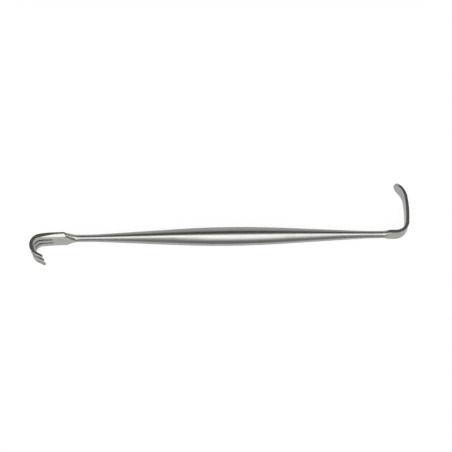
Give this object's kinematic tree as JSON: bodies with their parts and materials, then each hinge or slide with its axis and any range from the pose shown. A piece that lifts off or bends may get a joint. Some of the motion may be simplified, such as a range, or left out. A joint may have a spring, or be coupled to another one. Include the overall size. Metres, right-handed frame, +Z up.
{
  "type": "handheld surgical retractor",
  "caption": "Handheld retractor in one piece: a spindle handle with a tined rake hooked down at one end and a flat, round-ended blade turned up the other way at the other end.",
  "frame": {"origin": "middle of the underside of the bounding box, with the retractor lying on its side as it rests on a table", "axes": "+X along the handle from the rake towards the blade, +Y the way the blade rises and away from the way the tines hook, +Z up, across the widths of the rake and the blade"},
  "size_m": [0.1608, 0.034, 0.0096],
  "materials": {
    "steel": "satin"
  },
  "bodies": {
    "root": {"retractor": "steel"}
  },
  "joints": []
}
